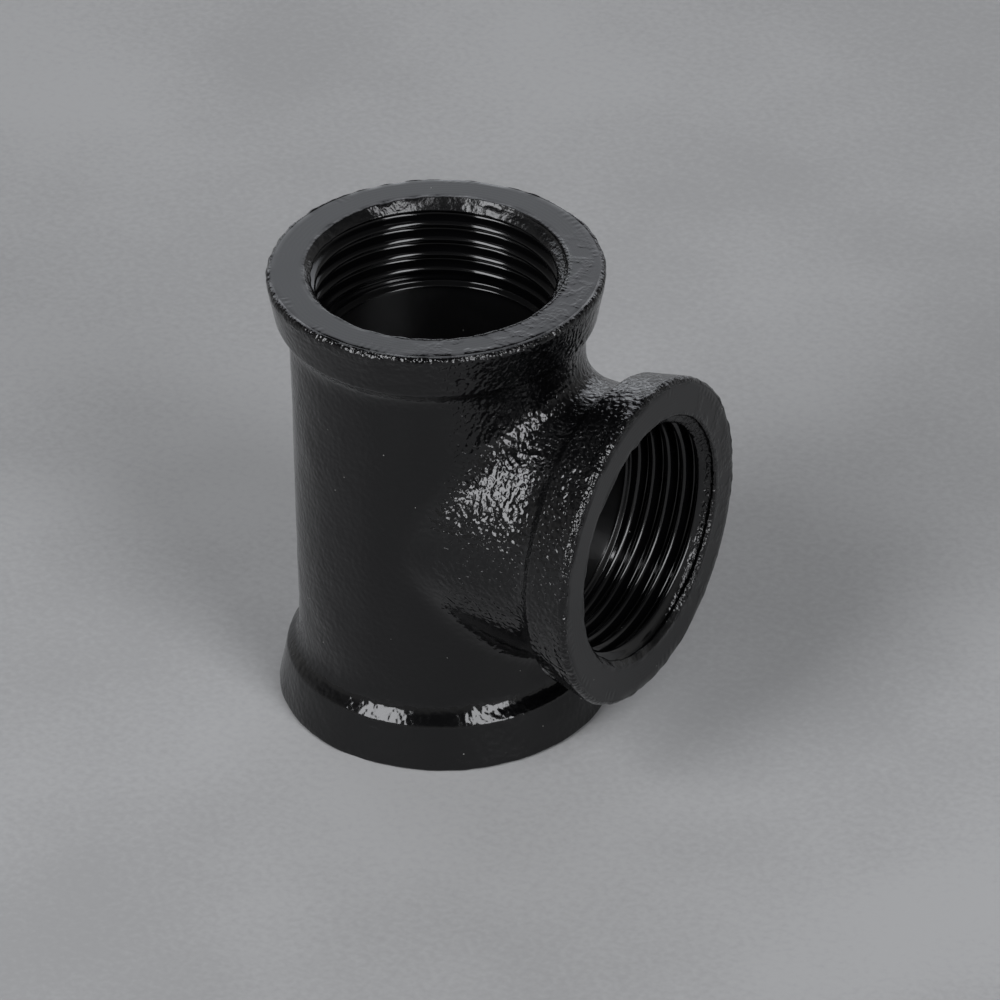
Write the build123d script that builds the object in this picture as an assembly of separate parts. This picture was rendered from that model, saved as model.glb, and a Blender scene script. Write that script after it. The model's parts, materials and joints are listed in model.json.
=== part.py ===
from build123d import *
import os

# Equal pipe tee for nominal 3/4 in pipe: one malleable-iron casting. A straight run
# and a side branch of the same bore meet on one axis, and each of the three ends
# has a raised band round an internally threaded socket.
#
# Millimetres. Origin at the centre of the lower end face, +Z up the run and +X
# along the branch.

# Where the three end faces are, measured from the point where the two axes cross
run_reach = 25.0
branch_reach = 24.7

# Threaded sockets. The helix itself is left to the finished model, so the socket
# wall here is the crest of the thread, which is the tapped hole's smallest bore.
thread_crest_diameter = 24.12
socket_depth = 9.3
mouth_chamfer = 1.2

# Cored waterway behind the sockets, and the walls round it
core_step = 0.56            # from the thread's crest in to the cored bore
run_wall = 3.25
branch_wall = 2.95

# Bands round the sockets
band_width = 4.95           # end face to shoulder corner
band_rise = 1.35            # shoulder corner above the run's barrel
band_flare = 1.0            # growth of the band's flank from shoulder to end face
shoulder_slope = 0.88       # axial length of the shoulder's steep face
shoulder_radius = 0.5       # on the shoulder's corner
rim_radius = 0.45           # on the outer edge of the end face
toe_radius = 2.2            # where the shoulder runs down on to the barrel

# Blend along the edge where the branch grows out of the run
crotch_radius = 2.0

crest_radius = thread_crest_diameter / 2
core_radius = crest_radius - core_step
mouth_radius = crest_radius + mouth_chamfer
run_radius = core_radius + run_wall
branch_radius = core_radius + branch_wall
shoulder_height = run_radius + band_rise
face_radius = shoulder_height + band_flare

# An arm is drawn standing at the origin with its band at the top, and these carry
# it to its three places in the tee
crossing = Pos(0, 0, run_reach)
upward = crossing
downward = crossing * Rot(180, 0, 0)
sideways = crossing * Rot(0, 90, 0)


def turned(points, radii=0):
    """Solid turned about Z from a closed outline of (radius, height) points."""
    outline = FilletPolyline(*points, radius=radii, close=True)
    return revolve(make_face(Plane.XZ * outline), Axis.Z)


def barrel(length, radius):
    """A plain round body, solid, standing at the origin."""
    return Cylinder(radius, length, align=(Align.CENTER, Align.CENTER, Align.MIN))


def band(reach, barrel_radius):
    """The band at the end of one arm, solid, with the toe that leads up to it."""
    shoulder = reach - band_width
    toe = shoulder - shoulder_slope
    corners_and_radii = [
        ((0, toe - toe_radius), 0),
        ((barrel_radius, toe - toe_radius), 0),
        ((barrel_radius, toe), toe_radius),
        ((shoulder_height, shoulder), shoulder_radius),
        ((face_radius, reach), rim_radius),
        ((0, reach), 0),
    ]
    points, radii = zip(*corners_and_radii)
    return turned(points, radii)


def passage(reach):
    """What is cut from one arm: cored bore, threaded socket and its lead-in."""
    return turned([
        (0, 0),
        (core_radius, 0),
        (core_radius, reach - socket_depth),
        (crest_radius, reach - socket_depth),
        (crest_radius, reach - mouth_chamfer),
        (mouth_radius, reach),
        (0, reach),
    ])


def crossed_barrels():
    """The run and the branch without their bands, blended where they meet."""
    run = barrel(2 * run_reach, run_radius)
    branch = sideways * barrel(branch_reach, branch_radius)
    tee = run + branch
    seam = new_edges(run, branch, combined=tee)
    return fillet(seam, crotch_radius)


def solid_tee():
    """The casting's whole outside, with the bands laid over the blended barrels."""
    return (
        crossed_barrels()
        + upward * band(run_reach, run_radius)
        + downward * band(run_reach, run_radius)
        + sideways * band(branch_reach, branch_radius)
    )


def tee_casting():
    """The finished casting, hollowed along both axes."""
    return (
        solid_tee()
        - upward * passage(run_reach)
        - downward * passage(run_reach)
        - sideways * passage(branch_reach)
    )


os.makedirs("parts", exist_ok=True)
export_step(tee_casting(), "parts/tee_casting.step")
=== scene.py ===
import json
import math
from collections import namedtuple

import bmesh
import bpy
import numpy as np
from mathutils import Matrix, Quaternion, Vector, noise


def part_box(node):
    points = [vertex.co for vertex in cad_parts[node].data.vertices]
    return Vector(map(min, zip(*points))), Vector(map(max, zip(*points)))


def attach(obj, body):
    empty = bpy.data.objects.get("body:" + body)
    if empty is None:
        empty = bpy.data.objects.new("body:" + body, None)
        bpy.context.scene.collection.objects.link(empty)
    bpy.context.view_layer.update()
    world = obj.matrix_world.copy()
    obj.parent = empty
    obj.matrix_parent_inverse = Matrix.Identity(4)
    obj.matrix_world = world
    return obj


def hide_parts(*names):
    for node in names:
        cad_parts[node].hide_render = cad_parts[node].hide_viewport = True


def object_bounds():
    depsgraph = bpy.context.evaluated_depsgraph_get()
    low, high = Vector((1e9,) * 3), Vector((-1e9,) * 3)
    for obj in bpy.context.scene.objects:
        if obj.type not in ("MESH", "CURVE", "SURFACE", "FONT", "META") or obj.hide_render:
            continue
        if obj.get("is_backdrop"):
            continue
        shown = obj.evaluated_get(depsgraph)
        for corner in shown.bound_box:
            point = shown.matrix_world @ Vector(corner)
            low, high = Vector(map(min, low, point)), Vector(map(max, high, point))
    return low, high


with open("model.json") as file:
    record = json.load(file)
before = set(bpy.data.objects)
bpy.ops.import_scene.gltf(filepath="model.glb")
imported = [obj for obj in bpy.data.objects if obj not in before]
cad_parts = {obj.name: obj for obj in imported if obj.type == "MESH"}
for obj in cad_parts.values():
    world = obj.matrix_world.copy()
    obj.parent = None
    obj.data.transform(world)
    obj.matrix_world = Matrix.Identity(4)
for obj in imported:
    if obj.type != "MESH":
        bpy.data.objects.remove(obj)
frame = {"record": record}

# A pipe tee: one sand casting with three tapped sockets, under gloss black enamel.
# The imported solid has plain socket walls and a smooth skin. The piece built here
# keeps its form and adds the helical threads, the lumpy cast skin, the irregular
# rims and the marks of machining. Lengths are in millimetres up to the point where
# the mesh is made, and those of the floor and the lamps are in metres.

MM = 0.001
NODE = "tee_casting"
PIECE = "enamelled_tee"

cad_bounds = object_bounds()
cad_low, cad_high = (np.array(corner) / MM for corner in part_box(NODE))
mounts = {mount["name"]: mount for mount in frame["record"]["mounts"]}

# Driving sizes, from the frame
centre_height = cad_high[2] / 2
run_reach = cad_high[2] / 2
branch_reach = cad_high[0]
face_radius = cad_high[1]
crest_radius = mounts["upper_socket"]["dims"]["r_mm"]
thread_length = mounts["upper_socket"]["dims"]["length_mm"]

# Driving sizes of the casting that the frame doesn't name
CORE_RADIUS = 11.5  # of the cored waterway behind the sockets
RUN_RADIUS = 14.95  # outside of the run between its bands
BRANCH_RADIUS = 14.45  # outside of the branch behind its band
BAND_WIDTH = 4.95
SHOULDER_RADIUS = 16.3  # where a band begins, to flare from there to its face
SHOULDER_SLOPE = 1.5  # length of the slope from the barrel up to the shoulder
TOE_RISE = 0.6  # how high the hollow at the foot of that slope reaches
TOE_RUN = 2.1  # how far the hollow runs out along the barrel
CORNER_ROUND = 0.6  # rounding of a shoulder
RIM_FLARE = 0.3  # how far a rim is past the solid's before it is rounded
RIM_ROUND = 0.65  # rounding of a rim
FOOT_ROUND = 0.3  # rounding of the lower rim, which is crisper
FOOT_WEAR = 0.3  # share of the other rims' unevenness that the lower rim has
RIM_WIDTH = 1.6  # how far back from its face a rim is uneven
RIM_FULL = 0.7  # how far back it is at its most uneven
BRANCH_SAG = 0.3  # how far the branch's rim hangs below its round outline
SADDLE_BLEND = 2.3  # blend between run and branch in the plane of both axes
CROTCH_BLEND = 5.2  # the same blend at the sides of the branch
CORE_BLEND = 1.0  # blend between the two bores

# The socket
MOUTH_CHAMFER = 1.2
MOUTH_ROUND = 0.14  # rounding where the chamfer meets the face
CHAMFER_START = 0.3  # depth at which the chamfer is surely past that rounding
LEDGE_SLOPE = 0.6  # depth of the ledge behind the wall, for each mm that it stands in
WALL_END_ROUND = 0.15  # rounding where the wall goes over to the ledge
CORE_ROUND = 0.2  # rounding where the ledge goes over to the bore
mouth_radius = crest_radius + MOUTH_CHAMFER
socket_depth = MOUTH_CHAMFER + thread_length
core_depth = socket_depth + LEDGE_SLOPE * (crest_radius - CORE_RADIUS)

# Its thread, 14 turns to the inch with flanks at 55 degrees
PITCH = 25.4 / 14
THREAD_HEIGHT = 0.64 * PITCH  # from crest to root
SHARP_HEIGHT = 0.96 * PITCH  # the same, were crests and roots sharp
THREAD_ROUND = 0.22  # width over which its crests and roots are rounded
THREAD_START = 0.18  # the part of a turn that the helix is at, at angle 0 of the face
THREAD_EASE = 0.08  # width over which the thread is eased into the plain wall
FADE_IN = 0.25  # depth below the face at which the thread has its full form
FADE_OUT = 0.35  # where it goes over to the ledge, before the wall's inner end
RUN_OUT_START = 1.7  # where the tap's lead begins, before the wall's inner end
RUN_OUT_END = 0.1  # where that lead ends

# Mesh spacing
SKIN_COLUMNS = 240
SKIN_STEP = 0.42
BORE_COLUMNS = 168
BORE_STEP = 1.1
CHAMFER_STEP = 0.2
THREAD_STEP = 0.13
LEDGE_STEP = 0.25
FRONT_ARC = 212  # degrees of the run's girth that the patch round the branch takes
LOOP_START = 4.0  # how far from the run's axis the branch's mouth is first drawn
SKIN_SEAM = 0.2  # how far up the shoulder's slope the skins of the arms start
BORE_SEAM = 1.6  # how far behind the wall's inner end the bores of the arms start
OUTER_LAND = 0.45  # share of an end face's width that has the skin's columns
INNER_LAND = 0.4  # share that has the bore's, inside a band that joins the two

# Unevenness of the casting, as the height, size and seed of each layer of lumps
SAND = ((0.07, 8.0, 0.0), (0.045, 3.6, 11.3), (0.03, 1.7, 5.1), (0.016, 0.9, 2.7))
NICKS = ((0.08, 2.6, 3.9), (0.12, 1.1, 8.2))
MACHINED = ((0.01, 5.0, 7.7),)

# How deep each is set, to keep its highest lumps within the solid's box
SAND_DEPTH = 0.03
NICK_DEPTH = 0.04
MACHINED_DEPTH = 0.01


# ---------------------------------------------------------------- outlines

def corner_arc(before, corner, after, radius, steps=24):
    """Points on the arc that rounds a corner of an outline."""
    before, corner, after = (np.array(p, float) for p in (before, corner, after))
    back = (before - corner) / np.linalg.norm(before - corner)
    ahead = (after - corner) / np.linalg.norm(after - corner)
    half = math.acos(float(back @ ahead)) / 2
    middle = (back + ahead) / np.linalg.norm(back + ahead)
    centre = corner + middle * radius / math.sin(half)
    start = corner + back * radius / math.tan(half) - centre
    end = corner + ahead * radius / math.tan(half) - centre
    turn = math.acos(float(start @ end) / radius ** 2)
    share = np.linspace(0, 1, steps + 1)[:, None]
    return centre + (np.sin((1 - share) * turn) * start + np.sin(share * turn) * end) / math.sin(turn)


def straight(start, end, steps=60):
    """Points on the line between two points, with both of them."""
    return np.linspace(start, end, steps + 1)


def joined(*runs):
    """One outline from runs of points that follow each other."""
    points = np.concatenate(runs)
    keep = np.ones(len(points), bool)
    keep[1:] = np.linalg.norm(np.diff(points, axis=0), axis=1) > 1e-6
    return points[keep]


def spaced(points, step, turn=math.radians(14)):
    """The outline re-cut so that no piece is longer than a step or bends past a turn."""
    pieces = np.diff(points, axis=0)
    heading = np.unwrap(np.arctan2(pieces[:, 1], pieces[:, 0]))
    bend = np.abs(np.diff(heading, prepend=heading[0]))
    effort = np.concatenate([[0], np.cumsum(np.hypot(*pieces.T) / step + bend / turn)])
    wanted = np.linspace(0, effort[-1], math.ceil(effort[-1]) + 1)
    return np.column_stack([np.interp(wanted, effort, points[:, i]) for i in (0, 1)])


def skin_outline(reach, barrel, rim_round):
    """Outside of one arm as (distance from the crossing, radius), out to its flat face."""
    shoulder = (reach - BAND_WIDTH, SHOULDER_RADIUS)
    foot = np.array([reach - BAND_WIDTH - SHOULDER_SLOPE, barrel])
    toe_end = foot - (TOE_RUN, 0)
    toe_top = foot + TOE_RISE / (SHOULDER_RADIUS - barrel) * (shoulder - foot)
    share = np.linspace(0, 1, 25)[:, None]
    toe = toe_end * (1 - share) ** 2 + 2 * foot * share * (1 - share) + toe_top * share ** 2
    rim = (reach, face_radius + RIM_FLARE)
    return joined(
        straight((0, barrel), toe_end),
        toe,
        corner_arc(toe_top, shoulder, rim, CORNER_ROUND),
        corner_arc(shoulder, rim, (reach, CORE_RADIUS), rim_round),
    )


def socket_outline(reach, edge, bore_edge):
    """Inside of one arm as (depth below its face, radius): the inner part of a face whose
    edge has that radius, the mouth, the wall and the bore, up to the seam at bore_edge."""
    face_point = (0, mouth_radius + INNER_LAND * (edge - mouth_radius))
    mouth_point = (0, mouth_radius)
    past_mouth = (CHAMFER_START, mouth_radius - CHAMFER_START)
    chamfer_end = (MOUTH_CHAMFER, crest_radius)
    wall_end = (socket_depth, crest_radius)
    core_start = (core_depth, CORE_RADIUS)
    core_end = (reach - bore_edge, CORE_RADIUS)
    mouth = spaced(joined(
        straight(face_point, (0, mouth_radius + MOUTH_ROUND)),
        corner_arc(face_point, mouth_point, chamfer_end, MOUTH_ROUND),
        straight(past_mouth, chamfer_end),
    ), CHAMFER_STEP)
    wall = straight(chamfer_end, wall_end, math.ceil(thread_length / THREAD_STEP))[1:]
    ledge = spaced(joined(
        corner_arc(chamfer_end, wall_end, core_start, WALL_END_ROUND),
        corner_arc(wall_end, core_start, core_end, CORE_ROUND),
    ), LEDGE_STEP)
    core_rows = max(2, math.ceil((core_end[0] - core_depth) / BORE_STEP))
    core = straight((core_depth + 2 * CORE_ROUND, CORE_RADIUS), core_end, core_rows)[:-1]
    wall = wall[wall[:, 0] < ledge[0, 0] - THREAD_STEP / 4]
    core = core[core[:, 0] > ledge[-1, 0] + CORE_ROUND / 2]
    return joined(mouth, wall, ledge, core)


# ---------------------------------------------------------------- mesh collecting

# What each point is marked with: how far it is on the cast skin, in the cored bore, on
# a machined end face, on the rim round that face or on the lip of the socket inside it,
# and its radius and angle round its own arm's axis
MARKS = ("skin", "bore", "face", "rim", "lip", "radial", "angle")


class Surface:
    """Points, faces and the value of each point's marks, gathered patch by patch."""

    def __init__(self):
        self.points = []
        self.marks = []
        self.faces = []
        self.count = 0

    def add(self, points, **marks):
        """Takes an array of points and returns their indices in the same layout."""
        points = np.asarray(points, float)
        layout = points.shape[:-1]
        marks = [np.broadcast_to(np.asarray(marks.get(name, 0), float), layout) for name in MARKS]
        self.points.append(points.reshape(-1, 3))
        self.marks.append(np.stack(marks, -1).reshape(-1, len(MARKS)))
        index = self.count + np.arange(int(np.prod(layout))).reshape(layout)
        self.count += index.size
        return index

    def bridge(self, rows, closed=True):
        """Quads between the rows of an index grid."""
        rows = np.asarray(rows)
        ahead = np.roll(rows, -1, axis=1)
        if not closed:
            rows, ahead = rows[:, :-1], ahead[:, :-1]
        quads = np.stack([rows[:-1], ahead[:-1], ahead[1:], rows[1:]], -1)
        self.faces.extend(quads.reshape(-1, 4).tolist())

    def stitch(self, one, one_angle, other, other_angle):
        """Triangles between two closed rings whose counts differ."""
        one, one_angle = in_order(one, one_angle)
        other, other_angle = in_order(other, other_angle)
        i = j = 0
        while i < len(one) or j < len(other):
            this, that = one[i % len(one)], other[j % len(other)]
            if j == len(other) or (i < len(one) and one_angle[i + 1] <= other_angle[j + 1]):
                i += 1
                after = one[i % len(one)]
            else:
                j += 1
                after = other[j % len(other)]
            self.faces.append([int(this), int(after), int(that)])


def in_order(ring, angle):
    """A ring and its angles, turned to start at the smallest, with the first angle added again."""
    angle = np.mod(angle, 2 * math.pi)
    order = np.argsort(angle)
    angle = angle[order]
    return np.asarray(ring)[order], np.append(angle, angle[0] + 2 * math.pi)


# ---------------------------------------------------------------- the crossing

class Crossing:
    """Two round outlines that meet at a right angle, and the surface round them both,
    with a blend between them that is one radius in the plane of both axes and another
    at the sides."""

    def __init__(self, run, branch, saddle_blend, side_blend):
        self.run, self.branch = run, branch
        self.saddle_blend, self.side_blend = saddle_blend, side_blend

    @staticmethod
    def beside(outline, along, radius):
        """Distance outside an outline, with the outward direction's two parts."""
        reach = np.interp(along, outline[:, 0], outline[:, 1])
        nudge = 0.02
        slope = (np.interp(along + nudge, outline[:, 0], outline[:, 1]) - reach) / nudge
        size = np.sqrt(1 + slope ** 2)
        return (radius - reach) / size, 1 / size, -slope / size

    def distance(self, p):
        """Distance outside the blended surface, below zero inside it."""
        x, y, z = p[..., 0], p[..., 1], p[..., 2] - centre_height
        r = np.hypot(x, y) + 1e-9
        q = np.hypot(y, z) + 1e-9
        one, out, up = self.beside(self.run, np.abs(z), r)
        two, out_b, up_b = self.beside(self.branch, x, q)

        # The cosine between the two outward directions, kept off 1 and -1
        agree = out * x / r * up_b + out * y / r * out_b * y / q + up * np.sign(z) * out_b * z / q
        agree = np.clip(agree, -0.95, 0.999)

        # The blend is a ball that touches both surfaces from outside
        blend = self.saddle_blend + (self.side_blend - self.saddle_blend) * (y / q) ** 2
        u, v = blend - one, blend - two
        between = (u > agree * v) & (v > agree * u) & (x > 0)
        ball = np.sqrt(np.maximum(u * u + v * v - 2 * agree * u * v, 0) / (1 - agree ** 2))
        plain = np.where(x > 0, np.minimum(one, two), one)
        return np.where(between, blend - ball, plain)

    def settled(self, p, rounds=6):
        """Points moved on to the surface, by about half a millimetre a round at most."""
        h = 0.01
        shifts = np.eye(3) * h
        for _ in range(rounds):
            value = self.distance(p)
            slope = np.stack([(self.distance(p + s) - self.distance(p - s)) / (2 * h) for s in shifts], -1)
            size = np.maximum((slope ** 2).sum(-1), 0.25)
            p = p - slope * np.clip(value / size, -0.5, 0.5)[..., None]
        return p

    def on_run(self, angle, height):
        """Points of the run's outline, at an angle round it and a height from the crossing."""
        angle, height = np.broadcast_arrays(angle, height)
        radius = np.interp(np.abs(height), self.run[:, 0], self.run[:, 1])
        return np.stack([radius * np.cos(angle), radius * np.sin(angle), centre_height + height], -1)

    def mouth_loop(self, angle):
        """Points of a loop on the blend, round the mouth of the branch."""
        radius = self.run[0, 1]
        y, z = radius * np.cos(angle), radius * np.sin(angle)
        return self.settled(np.stack([np.hypot(z, LOOP_START), y, centre_height + z], -1))

    def spread_rings(self, loop, wide, tall, step):
        """Rings that spread on the run from the loop almost to an oblong, whose half width
        and half height are given, and the bearing of each of their points."""
        radius = self.run[0, 1]
        turned = np.arctan2(loop[:, 1], loop[:, 0]) * radius
        rise = loop[:, 2] - centre_height
        bearing = np.arctan2(rise, turned)
        inner = np.hypot(turned, rise)
        outer = np.minimum(wide / np.maximum(np.abs(np.cos(bearing)), 1e-9),
                           tall / np.maximum(np.abs(np.sin(bearing)), 1e-9))
        steps = max(6, round(float(np.mean(outer - inner)) / step))
        share = np.linspace(0, 1 - 1 / (steps + 1), steps)[1:, None]
        away = inner + (outer - inner) * share
        rings = self.on_run(away * np.cos(bearing) / radius, away * np.sin(bearing))
        return self.settled(rings), bearing

    def neck_rings(self, loop, angle, branch_edge, step):
        """Rings along the branch from the loop to its edge, where they have those angles."""
        longest = branch_edge - loop[:, 0].min()
        share = np.linspace(0, 1, math.ceil(longest / step) + 1)[1:, None]
        x = loop[:, 0] + (branch_edge - loop[:, 0]) * share
        radius = np.interp(x, self.branch[:, 0], self.branch[:, 1])
        start = np.arctan2(loop[:, 2] - centre_height, loop[:, 1])
        turn = start + (np.mod(angle - start + math.pi, 2 * math.pi) - math.pi) * share
        rings = np.stack([x, radius * np.cos(turn), centre_height + radius * np.sin(turn)], -1)
        return self.settled(rings)

    def build(self, surface, columns, step, run_edge, branch_edge, **marks):
        """Meshes the middle of the tee and returns its three open rings with their
        angles: those at run_edge below and above the crossing, and that at branch_edge."""
        front = round(columns * FRONT_ARC / 360)
        spread = 2 * math.pi / columns
        around_run = (np.arange(columns) - front / 2) * spread
        around_branch = np.arange(columns) * spread
        heights = np.linspace(-run_edge, run_edge, math.ceil(2 * run_edge / step) + 1)
        between = heights[1:-1]

        # The run's two end rings, and its back between them
        lower = surface.add(self.settled(self.on_run(around_run, heights[0])), **marks)
        upper = surface.add(self.settled(self.on_run(around_run, heights[-1])), **marks)
        back = np.append(np.arange(front, columns), 0)
        middle = self.on_run(*np.meshgrid(around_run[back], between))
        middle = surface.add(self.settled(middle), **marks)
        surface.bridge(np.concatenate([[lower[back]], middle, [upper[back]]]), closed=False)

        # The oblong that the back leaves open: its points, how far each is round the run
        # from the branch's side, and how far above the crossing
        radius = self.run[0, 1]
        across = around_run[:front + 1] * radius
        border = np.concatenate([lower[:front + 1], middle[:, 0], upper[front::-1], middle[::-1, -1]])
        border_turned = np.concatenate([across, np.full_like(between, across[-1]),
                                        across[::-1], np.full_like(between, across[0])])
        border_rise = np.concatenate([np.full_like(across, heights[0]), between,
                                      np.full_like(across, heights[-1]), between[::-1]])

        # The patch from that oblong to the loop round the mouth, and the neck from there
        loop = self.mouth_loop(around_branch)
        rings, bearing = self.spread_rings(loop, front / 2 * spread * radius, run_edge, step)
        rings = surface.add(rings, **marks)
        mouth = surface.add(loop, **marks)
        neck = surface.add(self.neck_rings(loop, around_branch, branch_edge, step), **marks)
        surface.bridge(np.concatenate([[mouth], rings]))
        surface.stitch(rings[-1], bearing, border, np.arctan2(border_rise, border_turned))
        surface.bridge(np.concatenate([[mouth], neck]))
        return (lower, around_run), (upper, around_run), (neck[-1], around_branch)


# ---------------------------------------------------------------- the arms

# An arm has the direction of its axis, the directions at angle 0 and at a quarter turn,
# its reach from the crossing, and the sense in which its angle turns about its axis
Arm = namedtuple("Arm", "axis zero quarter reach sense")
X, Y, Z = np.eye(3)
ARMS = {
    "lower": Arm(-Z, X, Y, run_reach, -1),
    "upper": Arm(Z, X, Y, run_reach, 1),
    "branch": Arm(X, Y, Z, branch_reach, 1),
}
CROSSING_POINT = centre_height * Z


def placed(arm, along, radius, angle):
    """Points of one arm from distance along its axis, radius and angle."""
    along, radius, angle = (part[..., None] for part in np.broadcast_arrays(along, radius, angle))
    across = radius * np.cos(angle) * arm.zero + radius * np.sin(angle) * arm.quarter
    return CROSSING_POINT + along * arm.axis + across


def smooth_step(value, start, end):
    """Eases from 0 to 1 while the value goes from start to end."""
    share = np.clip((value - start) / (end - start), 0, 1)
    return share * share * (3 - 2 * share)


def soft_max(one, other, width):
    """The larger of two values, eased over that width where they cross."""
    return (one + other + np.sqrt((one - other) ** 2 + width ** 2)) / 2


def thread_depth(depth, angle, sense):
    """How far the thread is cut past its crest, at a depth below the end face. The
    helix is right-handed, and runs out at the inner end as the tap's lead leaves it."""
    turns = depth / PITCH + sense * angle / (2 * math.pi) + THREAD_START
    half = THREAD_HEIGHT / 2
    flank = SHARP_HEIGHT * (0.5 - np.abs(2 * np.mod(turns, 1) - 1))
    flank = -soft_max(-soft_max(flank, -half, THREAD_ROUND), -half, THREAD_ROUND)
    run_out = smooth_step(depth, socket_depth - RUN_OUT_START, socket_depth - RUN_OUT_END)
    return (flank + half) * (1 - run_out)


def build_skin(surface, name, outline, skin_edge, ring, angle):
    """Meshes the skin of one arm, from a ring of the middle to the edge of its face.
    Returns the ring there and its radius."""
    arm = ARMS[name]
    rows = spaced(outline[outline[:, 0] >= skin_edge], SKIN_STEP)[1:]
    along, radius = rows[:, :1], rows[:, 1:]
    rim = smooth_step(along, arm.reach - RIM_WIDTH, arm.reach - RIM_FULL)
    sag = 0
    if name == "lower":
        rim = rim * FOOT_WEAR
    if name == "branch":
        below = np.maximum(-np.sin(angle), 0) ** 2
        sag = BRANCH_SAG * below * smooth_step(along, arm.reach - BAND_WIDTH - SHOULDER_SLOPE, arm.reach)

    # Over its last two rows the skin gives way to the ground face
    row = np.arange(len(rows))[:, None]
    ground = smooth_step(row, len(rows) - 3, len(rows) - 1)
    points = placed(arm, along, radius + sag, angle)
    skin = surface.add(points, skin=1 - ground, rim=rim, radial=radius, angle=angle)
    surface.bridge(np.concatenate([[ring], skin]))
    return skin[-1], rows[-1, 1]


def build_face(surface, arm, ring, edge, angle):
    """Meshes the outer part of an end face, in wide rings with the skin's columns, from
    the ring at its edge. Returns the innermost ring."""
    radius = np.linspace(edge, edge - OUTER_LAND * (edge - mouth_radius), 4)[1:, None]
    face = surface.add(placed(arm, arm.reach, radius, angle), face=1, radial=radius, angle=angle)
    surface.bridge(np.concatenate([[ring], face]))
    return face[-1]


def build_socket(surface, arm, outline, ring, angle):
    """Meshes the inner part of an end face, the threaded socket and the bore behind it,
    down to a ring of the middle. Returns the outermost ring."""
    depth, plain = outline[:, :1], outline[:, 1:]
    cut = crest_radius + thread_depth(depth, angle, arm.sense)
    threaded = soft_max(plain, cut, THREAD_EASE) - THREAD_EASE / 4
    ended = smooth_step(depth, socket_depth - FADE_OUT, socket_depth)
    started = smooth_step(depth, 0, FADE_IN) * (1 - ended)
    radius = plain + (threaded - plain) * started

    # Each mark is eased over a few tenths of a millimetre
    cored = smooth_step(depth, core_depth - 0.2, core_depth + 0.6)
    lip = 1 - smooth_step(radius, mouth_radius + 0.1, mouth_radius + 0.45)
    lip = lip * (1 - smooth_step(depth, MOUTH_CHAMFER - 0.3, MOUTH_CHAMFER + 0.2))
    points = placed(arm, arm.reach - depth, radius, angle)
    inside = surface.add(points, bore=cored, face=depth < 0.02, lip=lip, radial=radius, angle=angle)
    surface.bridge(np.concatenate([inside, [ring]]))
    return inside[0]


# ---------------------------------------------------------------- the casting

def tee_surface():
    """Points, marks and faces of the whole casting: its middle outside and inside, then
    each arm from the open rings that these leave."""
    surface = Surface()
    skins = {
        "lower": skin_outline(run_reach, RUN_RADIUS, FOOT_ROUND),
        "upper": skin_outline(run_reach, RUN_RADIUS, RIM_ROUND),
        "branch": skin_outline(branch_reach, BRANCH_RADIUS, RIM_ROUND),
    }
    skin_edge = {name: arm.reach - BAND_WIDTH - SHOULDER_SLOPE + SKIN_SEAM for name, arm in ARMS.items()}
    bore_edge = {name: arm.reach - socket_depth - BORE_SEAM for name, arm in ARMS.items()}
    bore = straight((0, CORE_RADIUS), (run_reach, CORE_RADIUS), 1)

    outside = Crossing(skins["upper"], skins["branch"], SADDLE_BLEND, CROTCH_BLEND)
    inside = Crossing(bore, bore, CORE_BLEND, CORE_BLEND)
    skin_rings = outside.build(surface, SKIN_COLUMNS, SKIN_STEP,
                               skin_edge["upper"], skin_edge["branch"], skin=1)
    bore_rings = inside.build(surface, BORE_COLUMNS, BORE_STEP,
                              bore_edge["upper"], bore_edge["branch"], bore=1)

    for name, (skin_ring, skin_angle), (bore_ring, bore_angle) in zip(ARMS, skin_rings, bore_rings):
        arm = ARMS[name]
        ring, edge = build_skin(surface, name, skins[name], skin_edge[name], skin_ring, skin_angle)
        outer = build_face(surface, arm, ring, edge, skin_angle)
        outline = socket_outline(arm.reach, edge, bore_edge[name])
        inner = build_socket(surface, arm, outline, bore_ring, bore_angle)
        surface.stitch(outer, skin_angle, inner, bore_angle)
    return np.concatenate(surface.points), np.concatenate(surface.marks), surface.faces


def as_mesh(name, points, faces):
    mesh = bpy.data.meshes.new(name)
    mesh.from_pydata((points * MM).tolist(), [], faces)
    mesh.validate()
    return mesh


def oriented(points, faces):
    """Faces turned to look outward, and the mesh's smooth point normals."""
    mesh = as_mesh("draft", points, faces)
    bm = bmesh.new()
    bm.from_mesh(mesh)
    bmesh.ops.recalc_face_normals(bm, faces=bm.faces)
    if bm.calc_volume(signed=True) < 0:
        bmesh.ops.reverse_faces(bm, faces=bm.faces)
    open_edges = sum(not edge.is_manifold for edge in bm.edges)
    print("tee mesh:", len(bm.verts), "points,", sum(len(f.verts) - 2 for f in bm.faces), "triangles,",
          open_edges, "open edges, volume mm3", round(bm.calc_volume() / MM ** 3))
    bm.normal_update()
    bm.to_mesh(mesh)
    bm.free()
    faces = [list(polygon.vertices) for polygon in mesh.polygons]
    normals = np.array([vertex.normal for vertex in mesh.vertices])
    bpy.data.meshes.remove(mesh)
    return faces, normals


def lumps(points, layers):
    """Perlin noise from layers of lumps, each with its height, size and seed."""
    total = 0
    for height, size, seed in layers:
        total = total + height * np.array([noise.noise(Vector(p)) for p in (points / size + seed).tolist()])
    return total


def weathered(points, normals, marks):
    """The points moved by the unevenness of the casting, which is worst on its rims."""
    skin, bore, _, rim, lip = marks.T[:5]
    cast = np.maximum(skin, bore)
    shift = cast * (lumps(points, SAND) - SAND_DEPTH)
    shift = shift + (1 - cast) * (lumps(points, MACHINED) - MACHINED_DEPTH)
    shift = shift + (skin * rim + lip) * (lumps(points, NICKS) - NICK_DEPTH)
    points = points + normals * shift[:, None]
    return np.clip(points, cad_low, cad_high)


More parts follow.
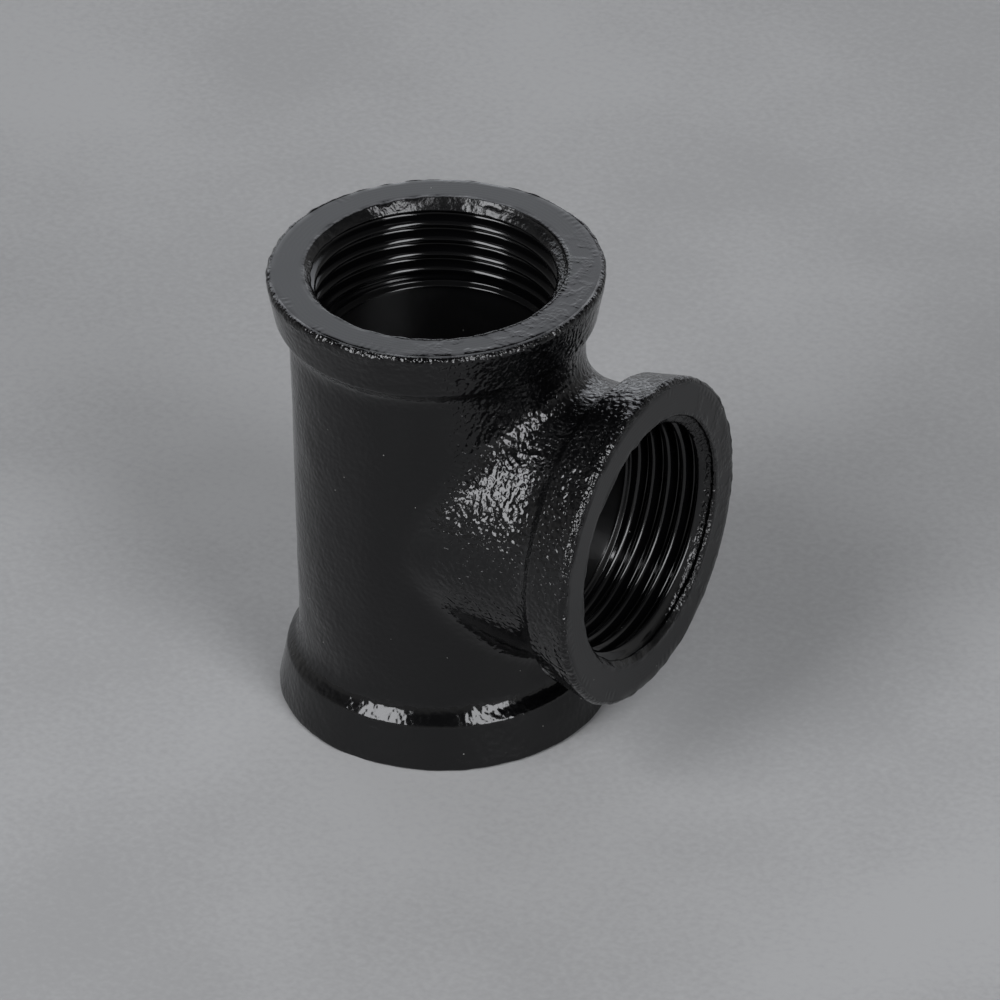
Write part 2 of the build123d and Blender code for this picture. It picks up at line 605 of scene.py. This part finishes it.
def corner_angles(angle, faces):
    """The angle at each corner of each face, with none that jumps a whole turn within a face."""
    angles = []
    for face in faces:
        first = angle[face[0]]
        angles.extend(first + math.remainder(angle[point] - first, 2 * math.pi) for point in face)
    return angles


def build_tee():
    points, marks, faces = tee_surface()
    faces, normals = oriented(points, faces)
    points = weathered(points, normals, marks)
    mesh = as_mesh(PIECE, points, faces)
    mesh.polygons.foreach_set("use_smooth", [True] * len(mesh.polygons))
    for name, values in zip(MARKS[:-1], marks.T):
        mesh.attributes.new(name, "FLOAT", "POINT").data.foreach_set("value", np.ascontiguousarray(values))
    angles = corner_angles(marks[:, -1], faces)
    mesh.attributes.new("angle", "FLOAT", "CORNER").data.foreach_set("value", angles)
    tee = bpy.data.objects.new(PIECE, mesh)
    bpy.context.collection.objects.link(tee)
    return tee


# ---------------------------------------------------------------- materials

ENAMEL_BLACK = (0.0012, 0.0012, 0.0014, 1)
ENAMEL_GLOSS = (0.10, 0.14)  # its roughness in the smoothest and the roughest patches
ENAMEL_IOR = 1.48
DUST_GREY = (0.16, 0.16, 0.15, 1)
DUST_SPACING = 1.9
DUST_SIZE = 0.036  # share of that spacing
PATCH_SIZE = 5.0  # of the patches in which grain and gloss are stronger or weaker
GRAIN_SIZE = 0.54
GRAIN_HEIGHT = 0.14
SAND_SIZE = 0.34  # of the single grains of sand that stand out where it is coarse
COARSE_X = (6.5, 11.0)  # over which the grain gets coarse towards the branch
COARSE_Z = (17.0, 25.0)  # and over which it does so upwards
GRIT_SIZE = 0.42
GRIT_HEIGHT = 0.18
TURNING_PITCH = 0.42  # of the rings on an end face
CHATTER_TEETH = 118.0  # how fast the chatter at a face's edge goes round
CUT_HEIGHT = 0.02
FLOOR_DARK = (0.262, 0.262, 0.262, 1)
FLOOR_PALE = (0.312, 0.312, 0.312, 1)
CLOUD_SIZE = 45.0
SPECKLE_SIZE = 0.8


class Shading:
    """A material's node tree, with short forms for its nodes. Lengths are in mm."""

    def __init__(self, name):
        self.material = bpy.data.materials.new(name)
        self.material.use_nodes = True
        self.tree = self.material.node_tree
        self.shader = self.tree.nodes["Principled BSDF"]
        scaled = self.node("ShaderNodeVectorMath", operation="SCALE")
        self.set(scaled, "Vector", self.node("ShaderNodeTexCoord").outputs["Object"])
        self.set(scaled, "Scale", 1 / MM)
        self.place = scaled.outputs["Vector"]

    def node(self, kind, **settings):
        node = self.tree.nodes.new(kind)
        for name, value in settings.items():
            setattr(node, name, value)
        return node

    def set(self, node, name, value):
        """Links an input to another node's output, or gives it a plain value."""
        if isinstance(value, bpy.types.NodeSocket):
            self.tree.links.new(value, node.inputs[name])
        else:
            node.inputs[name].default_value = value

    def mark(self, name):
        return self.node("ShaderNodeAttribute", attribute_name=name).outputs["Fac"]

    def math(self, operation, *values):
        node = self.node("ShaderNodeMath", operation=operation)
        for index, value in enumerate(values):
            self.set(node, index, value)
        return node.outputs["Value"]

    def times(self, *values):
        product = values[0]
        for value in values[1:]:
            product = self.math("MULTIPLY", product, value)
        return product

    def plus(self, one, other):
        return self.math("ADD", one, other)

    def ramp(self, value, start, end, low=0.0, high=1.0):
        """Eases from low to high while the value goes from start to end."""
        node = self.node("ShaderNodeMapRange", interpolation_type="SMOOTHSTEP")
        self.set(node, "Value", value)
        self.set(node, "From Min", start)
        self.set(node, "From Max", end)
        self.set(node, "To Min", low)
        self.set(node, "To Max", high)
        return node.outputs["Result"]

    def noise(self, size, detail=1.0):
        """Noise from 0 to 1 in lumps of that size."""
        node = self.node("ShaderNodeTexNoise")
        self.set(node, "Vector", self.place)
        self.set(node, "Scale", 1 / size)
        self.set(node, "Detail", detail)
        return node.outputs["Fac"]

    def dots(self, spacing, size):
        """1 in scattered dots of that size, a share of their spacing, and 0 between them."""
        node = self.node("ShaderNodeTexVoronoi")
        self.set(node, "Vector", self.place)
        self.set(node, "Scale", 1 / spacing)
        return self.math("LESS_THAN", node.outputs["Distance"], size)

    def bump(self, height, distance, below=None):
        """A bump of that height in mm where the value is 1, on top of another bump."""
        node = self.node("ShaderNodeBump")
        self.set(node, "Strength", 1.0)
        self.set(node, "Distance", distance * MM)
        self.set(node, "Height", height)
        if below is not None:
            self.set(node, "Normal", below)
        return node.outputs["Normal"]

    def mix(self, share, one, other):
        """A colour between two, by a share from 0 to 1."""
        node = self.node("ShaderNodeMix", data_type="RGBA")
        for index, value in ((0, share), (6, one), (7, other)):
            self.set(node, index, value)
        return node.outputs[2]


def cast_grain(s, marks, patches):
    """The casting's sand grain under the enamel, coarser on the upper side of the branch."""
    across = s.node("ShaderNodeSeparateXYZ")
    s.set(across, "Vector", s.place)
    coarse = s.times(s.ramp(across.outputs["X"], *COARSE_X), s.ramp(across.outputs["Z"], *COARSE_Z))
    sand = s.times(s.ramp(s.noise(SAND_SIZE, 0.0), 0.62, 0.75), coarse, 0.25)
    amount = s.plus(s.times(coarse, 0.85), 0.45)
    grain = s.plus(s.times(s.noise(GRAIN_SIZE, 0.5), amount), sand)
    cast = s.plus(marks["skin"], s.times(marks["bore"], 0.2))
    return s.bump(s.times(grain, cast, patches), GRAIN_HEIGHT)


def edge_grit(s, marks, below):
    """Grit along the rims and the lips, and over the side of each end that was dressed."""
    dressed = s.ramp(s.math("COSINE", s.plus(marks["angle"], 0.15)), 0.25, 0.8)
    rims = s.times(marks["rim"], marks["skin"])
    lips = s.times(marks["lip"], s.plus(s.times(dressed, 1.2), 0.3))
    pitted = s.times(marks["face"], dressed, s.ramp(s.noise(1.8), 0.45, 0.6), 0.35)
    amount = s.plus(s.math("MAXIMUM", rims, lips), pitted)
    return s.bump(s.times(s.noise(GRIT_SIZE), amount), GRIT_HEIGHT, below)


def face_marks(s, marks, patches, below):
    """Rings that turning left on the end faces, and short chatter across their outer edge."""
    rings = s.times(marks["radial"], 2 * math.pi / TURNING_PITCH)
    turned = s.math("SINE", s.plus(rings, s.times(patches, 9.0)))
    teeth = s.math("SINE", s.plus(s.times(marks["angle"], CHATTER_TEETH), s.times(patches, 14.0)))
    outer = s.ramp(marks["radial"], face_radius - 1.7, face_radius - 0.4)
    bitten = s.ramp(patches, 0.95, 1.05)
    cuts = s.plus(s.times(turned, 0.06), s.times(teeth, outer, bitten))
    return s.bump(s.times(cuts, marks["face"]), CUT_HEIGHT, below)


def enamel():
    """Gloss black enamel over sand-cast iron, with pale dust that settled in it wet."""
    s = Shading("black_enamel")
    marks = {name: s.mark(name) for name in MARKS}
    patches = s.ramp(s.noise(PATCH_SIZE), 0.35, 0.65, 0.75, 1.1)
    normal = cast_grain(s, marks, patches)
    normal = edge_grit(s, marks, normal)
    normal = face_marks(s, marks, patches, normal)
    s.set(s.shader, "Normal", normal)

    dust = s.times(s.dots(DUST_SPACING, DUST_SIZE), s.math("GREATER_THAN", patches, 0.93))
    s.set(s.shader, "Base Color", s.mix(dust, ENAMEL_BLACK, DUST_GREY))
    duller = s.plus(s.times(marks["bore"], 0.3), s.times(marks["lip"], 0.12))
    roughness = s.plus(s.ramp(patches, 0.75, 1.1, *ENAMEL_GLOSS), duller)
    s.set(s.shader, "Roughness", s.math("MAXIMUM", roughness, s.times(dust, 0.6)))
    s.set(s.shader, "IOR", ENAMEL_IOR)
    return s.material


def floor_material():
    """Plain pale grey card with a faint mottle."""
    s = Shading("pale_floor")
    cloud = s.plus(s.times(s.noise(CLOUD_SIZE, 3.0), 0.7), s.times(s.noise(SPECKLE_SIZE), 0.3))
    s.set(s.shader, "Base Color", s.mix(s.ramp(cloud, 0.35, 0.65), FLOOR_DARK, FLOOR_PALE))
    s.set(s.shader, "Roughness", 0.85)
    return s.material


# ---------------------------------------------------------------- stage

# Where the camera stands round the object, and the point that it looks at
CAMERA_AZIMUTH = math.radians(31.618)
CAMERA_ELEVATION = math.radians(34.014)
CAMERA_ROLL = math.radians(-1.162)
CAMERA_DISTANCE = 849.5
CAMERA_LENS = 299.7
SENSOR_WIDTH = 36
LOOK_AT = (5.064, 3.118, 21.65)

FLOOR_REACH = 6.0
WHITE = (1, 1, 1, 1)
COOL_WHITE = (0.98, 0.99, 1.02)
BLUISH_WHITE = (0.95, 0.99, 1.06)


def direction_to(azimuth, elevation):
    """The direction from the object to what stands at that azimuth and elevation."""
    level = math.cos(elevation)
    return Vector((math.sin(azimuth) * level, -math.cos(azimuth) * level, math.sin(elevation)))


def build_camera():
    data = bpy.data.cameras.new("camera")
    data.lens = CAMERA_LENS
    data.sensor_width = SENSOR_WIDTH
    camera = bpy.data.objects.new("camera", data)
    bpy.context.collection.objects.link(camera)
    back = direction_to(CAMERA_AZIMUTH, CAMERA_ELEVATION)
    place = (Vector(LOOK_AT) + back * CAMERA_DISTANCE) * MM
    turn = (-back).to_track_quat("-Z", "Y").to_matrix().to_4x4()
    camera.matrix_world = Matrix.Translation(place) @ turn @ Matrix.Rotation(CAMERA_ROLL, 4, "Z")
    bpy.context.scene.camera = camera


def softbox(name, bearing, elevation, distance, width, height, radiance, colour, lean=0):
    """A rectangular lamp that faces the object. Its bearing, in degrees, is 0 on the
    camera's side and grows to the camera's right, its lean turns its top towards the
    lower bearings, and its radiance is how bright it looks."""
    data = bpy.data.lights.new(name, "AREA")
    data.shape = "RECTANGLE"
    data.size, data.size_y = width, height
    data.energy = radiance * width * height * math.pi
    data.color = colour
    lamp = bpy.data.objects.new(name, data)
    bpy.context.collection.objects.link(lamp)
    direction = direction_to(CAMERA_AZIMUTH + math.radians(bearing), math.radians(elevation))
    lamp.location = Vector(CROSSING_POINT * MM) + direction * distance
    lamp.rotation_mode = "QUATERNION"
    lamp.rotation_quaternion = (-direction).to_track_quat("-Z", "Y") @ Quaternion(Z, math.radians(lean))


def build_floor():
    across = (-FLOOR_REACH, FLOOR_REACH)
    mesh = bpy.data.meshes.new("floor")
    mesh.from_pydata([(x, y, 0) for y in across for x in across], [], [(0, 1, 3, 2)])
    floor = bpy.data.objects.new("floor", mesh)
    bpy.context.collection.objects.link(floor)
    floor.data.materials.append(floor_material())
    floor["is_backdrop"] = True


def build_world():
    """Soft light from all round, brightest from near the horizon."""
    world = bpy.data.worlds.new("studio")
    bpy.context.scene.world = world
    world.use_nodes = True
    nodes, links = world.node_tree.nodes, world.node_tree.links
    direction = nodes.new("ShaderNodeSeparateXYZ")
    links.new(nodes.new("ShaderNodeTexCoord").outputs["Generated"], direction.inputs["Vector"])
    level = nodes.new("ShaderNodeMapRange")
    level.interpolation_type = "SMOOTHSTEP"
    for name, value in (("From Min", 0.1), ("From Max", 0.75), ("To Min", 0.34), ("To Max", 0.06)):
        level.inputs[name].default_value = value
    links.new(direction.outputs["Z"], level.inputs["Value"])
    nodes["Background"].inputs["Color"].default_value = WHITE
    links.new(level.outputs["Result"], nodes["Background"].inputs["Strength"])


def build_lamps():
    """Two tall softboxes on the camera's side, and a wide panel behind the object."""
    softbox("back_panel", bearing=180, elevation=24, distance=2.0, width=2.7, height=1.75,
            radiance=1.14, colour=BLUISH_WHITE)
    softbox("left_box", bearing=-51, elevation=38, distance=1.2, width=0.46, height=1.05,
            radiance=8.6, colour=COOL_WHITE, lean=20)
    softbox("right_box", bearing=35, elevation=33, distance=1.2, width=0.4, height=1.18,
            radiance=8, colour=COOL_WHITE)


# ---------------------------------------------------------------- scene

bpy.context.scene.view_settings.view_transform = "Standard"
build_camera()
build_floor()
build_world()
build_lamps()
tee = build_tee()
tee.data.materials.append(enamel())
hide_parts(NODE)
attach(tee, "root")

[[list(corner) for corner in pair] for pair in (cad_bounds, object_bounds())]
